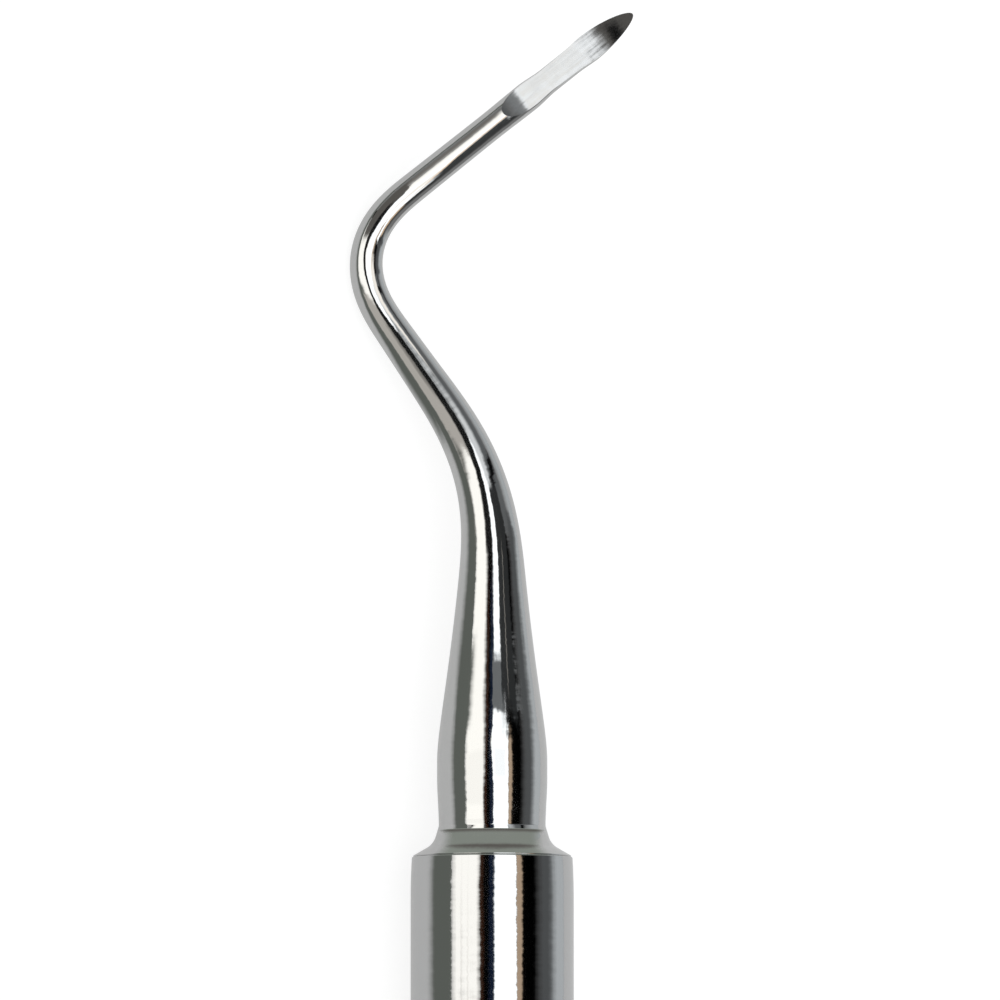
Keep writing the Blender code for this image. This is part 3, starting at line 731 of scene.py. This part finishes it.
def studio_sheets(view):
    """Every light and card: (name, place, steps along, radiance, tint, softness, lights the floor)."""

    def ball(name, nearer, middle, size, radiance, tint, soft, tilt=0, lights=False):
        place = on_ball(view, BALL - nearer, middle, size, tilt)
        return name, place, SHEET_STEPS, radiance, tint, soft, lights

    def ring(name, nearer, around, away, radiance, tint, soft, lights=False):
        place = on_ring(view, BALL - nearer, around, away)
        return name, place, SHEET_STEPS, radiance, tint, soft, lights

    def close(name, height, radiance, tint, soft, rows):
        steps = ROW_STEPS * (len(rows) - 1)
        return name, close_by(view, height, rows), steps, radiance, tint, soft, False

    def round_shank(name, along, radii, radiance, tint, soft):
        return name, collar(view, along, radii), 2 * ROW_STEPS, radiance, tint, soft, False

    def floor_card(name, radiance, tint, soft, edge):
        return name, on_floor(view, edge), ROW_STEPS * (len(edge) - 1), radiance, tint, soft, False

    return [
        # Softboxes either side of the camera, and what is dim beside and above them
        ball(
            "left_softbox", 0, (-32.5, 18), (63, 52), 1.6, CREAM, ((0.2, 0.02), (0.15, 0.5)),
            lights=True,
        ),
        ball("left_low", -0.01, (-29, -12), (38, 44), 0.7, BROWN, ((0.5, 0.35), (0.6, 0.1))),
        ball("left_side", -0.04, (-48, -30), (90, 60), 0.17, GREEN, ((0.1, 0.1), (0.1, 0.1))),
        ball(
            "right_softbox", 0, (16.2, -0.3), (37.6, 48), 1.9, COOL, ((0.02, 0.03), (0.02, 0.06)),
            lights=True,
        ),
        ring(
            "right_softbox_low", 0.005, (-47, -10), (14, 59), 1.9, COOL, ((0.02, 0.05), (0.1, 0.08)),
            lights=True,
        ),
        ring(
            "right_softbox_foot", 0.006, (-80, -46), (14, 46), 1.9, COOL, ((0.1, 0.02), (0.1, 0.12)),
            lights=True,
        ),
        ball("over_shank", 0.01, (8, 29.5), (52, 11), 0.35, GREY, ((0.1, 0.1), (0.2, 0.3))),
        ball("upper_right", 0.015, (33, 28), (42, 16), 1.0, COOL, ((0.3, 0.5), (0.3, 0.4)), tilt=40),
        ring("upper_wall", -0.02, (14, 75), (42, 88), 0.17, GREY, ((0.1, 0.1), (0.2, 0.3))),
        ball("right_wall", -0.025, (80, 0), (60, 60), 0.12, GREY, ((0.5, 0.2), (0.1, 0.1))),
        ring("horizon", -0.03, (-30, 100), (75, 125), 0.6, GREY, ((0.1, 0.1), (0.6, 0.1))),
        ball("right_horizon", -0.01, (104, 4), (36, 50), 0.65, GREY, ((0.6, 0.1), (0.1, 0.3))),
        # A warm rim where the right softbox ends, and the dark beyond it
        ball("warm_edge", 0.01, (39.2, -3), (9.5, 36), 0.6, WARM, ((0.1, 0.3), (0.1, 0.1))),
        ring("warm_rim", 0.01, (-43, -16), (58, 72), 1.0, WARM, ((0.1, 0.1), (0.1, 0.6))),
        ball("card_right", 0, (58, 4), (44, 32), 0, GREY, ((0.02, 0.45), (0.1, 0.06))),
        ring("card_right_low", -0.01, (-75, -8), (52, 90), 0.05, GREY, ((0.1, 0.1), (0.05, 0.6))),
        ball("streak_right", 0.05, (52, 28), (54, 6), 0, GREY, ((0.1, 0.2), (0.25, 0.25)), tilt=30),
        ball("streak_left", 0.05, (-40, 36), (54, 7), 0, GREY, ((0.2, 0.05), (0.3, 0.3)), tilt=-35),
        # The dark between both softboxes: a flag over the handle and the neck, one close over the bends
        close("flag", 20, 0, GREY, ((0.4, 0.25), (0.001, 0.1)), [
            ((-7.6, -130), (1.6, -130)), ((-7.6, 4), (1.6, 4)), ((-6.6, 11), (-0.6, 11)),
            ((-8.6, 14.6), (2.6, 14.6)), ((-8.8, 22), (2.6, 22)), ((-8, 23), (2.2, 23.6)),
            ((-6.6, 24.3), (2.8, 26.3)),
        ]),
        close("bend_flag", 8, 0.01, GREY, ((0.25, 0.15), (0.02, 0.06)), [
            ((-3.6, 18.6), (0.7, 18.6)), ((-3, 22), (0.6, 22.5)), ((-2.7, 23.4), (0.8, 24.6)),
            ((-3.2, 24.6), (1, 26.5)), ((-3.9, 25.9), (0.2, 27.9)), ((-4.6, 26.9), (-0.8, 29.1)),
            ((-5, 28), (-1.3, 30.2)), ((-5.6, 29), (-2, 31)), ((-6.8, 29.9), (-2.8, 32)),
            ((-7.6, 30.9), (-3.6, 33)), ((-8.1, 31.7), (-5.2, 33.2)), ((-8.3, 32.8), (-6.5, 33.5)),
            ((-8.9, 33.8), (-6.9, 34.3)), ((-10, 34.8), (-7.5, 35)), ((-11, 36.6), (-8.2, 36)),
            ((-10.5, 38.3), (-7.1, 36.8)), ((-9, 39.2), (-5.1, 36.9)), ((-8, 40.2), (-5.1, 37.8)),
            ((-7.3, 41.3), (-5.5, 39.4)),
        ]),
        # Sheets close over the pick that dim one stretch of the shank each
        close("shade_inner", 8.2, 0.3, BROWN, ((0.7, 0.02), (0.3, 0.2)), [
            ((-6.2, 25.4), (-3.5, 26.8)), ((-8.6, 28.2), (-5, 30)), ((-9.8, 30.4), (-6.4, 32.4)),
        ]),
        close("shade_left", 8.4, 0.62, BROWN, ((0.2, 0.02), (0.12, 0.1)), [
            ((-16, 19.6), (-2, 24)), ((-16, 22.6), (-3, 26)), ((-18, 27), (-5, 30)),
            ((-20, 31), (-7.4, 33.4)),
        ]),
        close("shade_right", 8.4, 0.15, GREY, ((0.02, 0.7), (0.15, 0.1)), [
            ((-0.8, 25.4), (2, 26.8)), ((-0.4, 26.9), (2.2, 28.3)), ((-1.8, 28.3), (1, 30.4)),
            ((-2.9, 29.9), (-0.1, 32.1)), ((-4.1, 31.5), (-1.2, 33.7)), ((-5.2, 32.7), (-2.1, 35)),
        ]),
        close("shade_taper", 8.4, 0.22, GREY, ((0.02, 0.05), (0.1, 0.2)), [
            ((0.1, 10), (4.2, 10)), ((0.1, 14), (4, 14)),
        ]),
        close("shade_low", 3, 0.06, GREY, ((0.05, 0.12), (0.4, 0.05)), [
            ((-2.45, 36.8), (-0.2, 34.2)), ((-2.1, 38), (0.5, 34.8)), ((-1.65, 39), (1.2, 35.4)),
            ((-1.25, 40), (2, 36)), ((0.15, 41.5), (3.6, 37.2)), ((1.65, 42.9), (5.2, 38.5)),
        ]),
        close("warm_low", 3.05, 1.1, WARM, ((0.6, 0.1), (0.2, 0.05)), [
            ((-2.9, 36), (-2.35, 35.4)), ((-2.85, 37.3), (-2.35, 36.8)), ((-2.45, 38.4), (-2, 37.9)),
            ((-1.6, 40.4), (-1.15, 39.9)), ((-0.15, 41.85), (0.2, 41.4)), ((1.35, 43.2), (1.75, 42.8)),
        ]),
        close("shade_outer_bend", 8.25, 0.14, BROWN, ((0.1, 0.04), (0.1, 0.1)), [
            ((-17, 39), (-8.3, 37.4)), ((-18, 44.6), (-6.7, 37.9)), ((-16, 47), (-5.5, 38.1)),
            ((-14, 49), (-4.9, 39)), ((-13, 50), (-5.5, 40.8)), ((-12.5, 51), (-6.8, 42.9)),
        ]),
        close("shade_outer_shank", 8.3, 0.24, BROWN, ((0.12, 0.54), (0.15, 0.1)), [
            ((-12.8, 49), (-5, 40.6)), ((-11.3, 50), (-4.3, 41.15)), ((-9.8, 51.4), (-2.75, 42.5)),
            ((-8.2, 52.6), (-1.15, 43.7)), ((-7, 53.5), (0.05, 44.6)),
        ]),
        close("bend_glow", 8.3, 1.4, BROWN, ((0.05, 0.45), (0.5, 0.25)), [
            ((-3.2, 35), (4, 34.1)), ((-3.2, 35.7), (5.5, 35.4)), ((-3, 36.4), (5.5, 37.2)),
            ((-2.6, 37.6), (2, 38.6)),
        ]),
        close("taper_edge", 8.2, 0.04, GREY, ((0.03, 0.3), (0.1, 0.15)), [
            ((2.9, 9.8), (13, 9.8)), ((2.8, 14), (13, 14)), ((2.75, 18), (13, 19)),
            ((2.65, 20.8), (13, 23.5)), ((2.4, 23), (12, 26)), ((3.7, 24.9), (11, 28)),
        ]),
        close("taper_line", 8.15, 0.3, BROWN, ((0.3, 0.3), (0.2, 0.2)), [
            ((5.5, 11), (6.1, 11)), ((5.4, 17), (6, 17)), ((5.5, 20.8), (6.1, 21)),
        ]),
        close("taper_left", 8.3, 0.17, GREEN, ((0.05, 0.5), (0.25, 0.25)), [
            ((-17, 9.2), (-6, 9.2)), ((-17, 16.2), (-5.8, 16.2)),
        ]),
        # Bright ends of the neck's bands
        close("neck_end_left", 8.6, 1.5, CREAM, ((0.12, 0.03), (0.05, 0.15)), [
            ((-10.8, 1.6), (-2.3, 1.6)), ((-10.8, 7.4), (-2.3, 7.4)),
        ]),
        close("neck_end_right", 8.6, 1.6, COOL, ((0.1, 0.1), (0.1, 0.1)), [
            ((0.5, 4.7), (3.7, 4.7)), ((0.5, 7.4), (3.7, 7.4)),
        ]),
        close("neck_foot_left", 4.2, 1.6, CREAM, ((0.1, 0.1), (0.02, 0.3)), [
            ((-3.75, 2.1), (-0.93, 2.1)), ((-3.75, 3), (-0.93, 3)),
        ]),
        close("neck_foot_right", 4.2, 1.9, COOL, ((0.1, 0.1), (0.02, 0.3)), [
            ((0.12, 2.1), (1.9, 2.1)), ((0.12, 3), (1.9, 3)),
        ]),
        # Darker lines down the left softbox
        close("left_line", 20, 0.75, BROWN, ((0.5, 0.5), (0.001, 0.3)), [
            ((-18.4, -130), (-16.4, -130)), ((-18.4, 9), (-16.4, 9)),
        ]),
        close("left_thin_line", 20, 0.9, BROWN, ((0.5, 0.5), (0.001, 0.3)), [
            ((-13, -130), (-11.6, -130)), ((-13, 9), (-11.6, 9)),
        ]),
        # Brown and blue in the dark between the softboxes
        close("flag_brown", 19.8, 0.04, RUST, ((0.3, 0.5), (0.001, 0.1)), [
            ((-5.6, -130), (-3.2, -130)), ((-5.6, 4), (-3.2, 4)), ((-4.8, 11), (-3, 11)),
            ((-5.2, 14.6), (-2.4, 14.6)), ((-5.4, 22), (-2.4, 22)),
        ]),
        close("flag_blue", 19.8, 0.04, BLUE, ((0.5, 0.2), (0.001, 0.1)), [
            ((-2.2, -130), (1.1, -130)), ((-2.2, 4), (1.1, 4)), ((-2.6, 11), (-1, 11)),
            ((-2.4, 14.6), (1.7, 14.6)), ((-2.4, 22), (1.7, 22)),
        ]),
        # Cards that darken the blade's tip
        close("tip_card", 3, 0.13, BROWN, ((0.05, 0.05), (0.2, 0.05)), [
            ((4.2, 50.7), (7.9, 46.1)), ((7.9, 53.5), (11.7, 48.9)),
        ]),
        close("tip_spot", 2.9, 0, GREY, ((0.35, 0.1), (0.3, 0.4)), [
            ((6.3, 49.7), (7.5, 48)), ((7.5, 50.6), (8.7, 48.9)),
        ]),
        # A dark card on the floor that only the steel sees. Where its edge reaches in under the bends, it
        # is painted shade: the floor's shadow below the shank, as the steel mirrors it
        floor_card("card_on_floor", 0.17, GREEN, ((0.015, 0.1), (0.05, 0.05)), [
            (-220, -8.8), (3, -8.8), (9, -7.6), (13, -4.6), (19, -4.2), (21.8, -5.5), (23.2, -1.5),
            (26.5, -2.5), (28.5, -6), (31, -8.8), (200, -8.8),
        ]),
        # What the hollow below the shoulder sees in place of the softboxes
        round_shank("shoulder_collar", 1.56, (3, 9), 0.36, GREEN, ((0.2, 0.2), (0.001, 0.15))),
        round_shank("shoulder_shade", 1.52, (3, 3.6), 0.16, BROWN, ((0.2, 0.2), (0.001, 0.6))),
    ]


def panel(name, place, rows, radiance, tint, soft, lights):
    """A sheet that shines, or a dark card, seen in the steel but not by the camera."""
    steps = SHEET_STEPS
    points, faces, corners = [], [], []
    for j in range(rows + 1):
        for i in range(steps + 1):
            points.append(place(i / steps, j / rows))
            corners.append((i / steps, j / rows))
    for j in range(rows):
        for i in range(steps):
            first = j * (steps + 1) + i
            faces.append((first, first + 1, first + steps + 2, first + steps + 1))
    mesh = bpy.data.meshes.new(name)
    mesh.from_pydata(points, [], faces)
    layer = mesh.uv_layers.new(name="panel")
    for loop in mesh.loops:
        layer.data[loop.index].uv = corners[loop.vertex_index]
    mesh.materials.append(glow(name, tint, radiance, soft))
    sheet = link_object(name, mesh)
    sheet.visible_camera = False
    sheet.visible_diffuse = lights
    sheet.visible_shadow = False


def lay_floor(height, tint):
    """The surface that the pick lies on."""
    mesh = bpy.data.meshes.new("floor")
    signs = ((-1, -1), (1, -1), (1, 1), (-1, 1))
    corners = [(x * FLOOR_REACH, y * FLOOR_REACH, height) for x, y in signs]
    mesh.from_pydata(corners, [], [(0, 1, 2, 3)])
    mesh.materials.append(floor_material(tint))
    floor = link_object("floor", mesh)


def set_camera(view, studio):
    """The camera over the pick, leaning a little towards the butt."""
    camera = link_object("camera", bpy.data.cameras.new("camera"))
    camera.data.lens = camera.data.sensor_width * studio.distance / studio.view_width
    camera.data.clip_start = CLIP_START
    camera.data.clip_end = CLIP_END
    back = view.towards * math.cos(studio.lean) - view.up * math.sin(studio.lean)
    turned = Matrix((view.right, back.cross(view.right), back)).transposed().to_4x4()
    camera.matrix_world = Matrix.Translation(view.centre + back * studio.distance) @ turned
    bpy.context.scene.camera = camera


# Operators


def both_sizes(context):
    scene = context.scene
    return scene.pick_handle_sizes, WorkingEnd(scene.pick_end_sizes, scene.pick_handle_sizes)


def handle_steel(name, context):
    finish = context.scene.pick_finish
    return steel(name, finish.handle, finish.handle_roughness, HANDLE_MARKS, "object")


class PICK_OT_handle_tube(bpy.types.Operator):
    """Make the handle tube"""

    bl_idname = "pick.handle_tube"
    bl_label = "Handle tube"

    def execute(self, context):
        handle, end = both_sizes(context)
        radius = handle.diameter / 2
        rear, front = handle.cap, handle.cap + handle.tube_length
        lip = handle.front_lip
        up = math.pi / 2
        bore = radius - handle.wall
        seam = handle.seam
        profile = [(front, bore), (rear, bore)]
        profile += arc(rear + seam, radius - seam, seam, math.pi, up, SEAM_STEPS)
        for i in range(FRONT_STEPS):
            place = front - lip - handle.front_length * (1 - i / FRONT_STEPS)
            profile.append((place, radius - handle.front_fall * (i / FRONT_STEPS) ** 2))
        profile += arc(front - lip, radius - handle.front_fall - lip, lip, up, 0, LIP_STEPS)
        profile.append(profile[0])
        rings = lathe(profile, handle.sides) @ lie(end.rest_roll()).T
        tube = skin("handle_tube_fine", rings, [handle_steel("polished_handle_steel", context)])
        settle(tube, "handle_tube")
        return {"FINISHED"}


class PICK_OT_butt_plug(bpy.types.Operator):
    """Make the plug that closes the handle's butt"""

    bl_idname = "pick.butt_plug"
    bl_label = "Butt plug"

    def execute(self, context):
        handle, end = both_sizes(context)
        radius = handle.diameter / 2
        edge, seam, cap = handle.butt_edge, handle.seam, handle.cap
        tang = radius - handle.wall - handle.clearance
        tang_end = cap + handle.butt_tang
        chamfer = handle.tang_chamfer
        profile = [(0, 0)]
        profile += arc(edge, radius - edge, edge, math.pi, math.pi / 2, BUTT_EDGE_STEPS)
        profile += arc(cap - seam, radius - seam, seam, math.pi / 2, 0, SEAM_STEPS)
        profile += [(cap, tang), (tang_end - chamfer, tang), (tang_end, tang - chamfer), (tang_end, 0)]
        rings = lathe(profile, handle.sides) @ lie(end.rest_roll()).T
        plug = skin("butt_plug_fine", rings, [handle_steel("polished_butt_steel", context)])
        settle(plug, "butt_plug")
        return {"FINISHED"}


class PICK_OT_working_end(bpy.types.Operator):
    """Make the working end: tang, shoulder, neck, bent shank and ground blade"""

    bl_idname = "pick.working_end"
    bl_label = "Working end"

    def execute(self, context):
        end = both_sizes(context)[1]
        finish = context.scene.pick_finish
        stations = end.profile()
        first_blade = len(stations)
        stations += [(path, end.radius(path)) for path in end.blade_places()]
        rings, places = [], []
        face_ring = len(stations) - 1
        for i, (path, radius) in enumerate(stations):
            y, z = end.section(path, radius)
            rings.append(end.bent(path, y, z))
            places.append(np.column_stack([np.full(len(y), path), y, z]))
            if i >= first_blade and path >= end.face_start:
                face_ring = min(face_ring, i)
        rings = np.array(rings) @ lie(end.rest_roll()).T
        polished = steel("polished_steel", finish.working, finish.working_roughness, WORKING_MARKS)
        ground = steel("ground_steel", finish.ground, finish.ground_roughness, GROUND_MARKS)
        corner = end.s.round_parts
        piece = skin(
            "working_end_fine",
            rings,
            [polished, ground],
            sharp_lines=[(face_ring, 0), (face_ring, corner)],
            face_from=(face_ring, corner),
            places=np.array(places),
        )
        settle(piece, "working_end")
        return {"FINISHED"}


class PICK_OT_studio(bpy.types.Operator):
    """Set up the floor, the lights and the camera"""

    bl_idname = "pick.studio"
    bl_label = "Studio"

    def execute(self, context):
        end = both_sizes(context)[1]
        scene = context.scene
        studio = scene.pick_studio
        scene.view_settings.view_transform = "Standard"
        view = View(studio, end)
        lay_floor(-view.floor_depth, studio.floor)
        studio_world(studio)
        for sheet in studio_sheets(view):
            panel(*sheet)
        set_camera(view, studio)
        return {"FINISHED"}


class PICK_PT_parts(bpy.types.Panel):
    """Makes the pick's parts"""

    bl_label = "Root tip pick"
    bl_idname = "PICK_PT_parts"
    bl_space_type = "VIEW_3D"
    bl_region_type = "UI"
    bl_category = "Root tip pick"

    def draw(self, context):
        for operator in OPERATORS:
            self.layout.operator(operator.bl_idname)


OPERATORS = (PICK_OT_handle_tube, PICK_OT_butt_plug, PICK_OT_working_end, PICK_OT_studio)
GROUPS = {
    "pick_handle_sizes": PickHandleSizes,
    "pick_end_sizes": PickEndSizes,
    "pick_finish": PickFinish,
    "pick_studio": PickStudio,
}


def register():
    for group in GROUPS.values():
        bpy.utils.register_class(group)
    for operator in (*OPERATORS, PICK_PT_parts):
        bpy.utils.register_class(operator)
    for name, group in GROUPS.items():
        setattr(bpy.types.Scene, name, PointerProperty(type=group))


def unregister():
    for name in GROUPS:
        delattr(bpy.types.Scene, name)
    for operator in (PICK_PT_parts, *reversed(OPERATORS)):
        bpy.utils.unregister_class(operator)
    for group in reversed(GROUPS.values()):
        bpy.utils.unregister_class(group)


def main():
    register()
    bpy.ops.pick.handle_tube()
    bpy.ops.pick.butt_plug()
    bpy.ops.pick.working_end()
    bpy.ops.pick.studio()


if __name__ == "__main__":
    main()
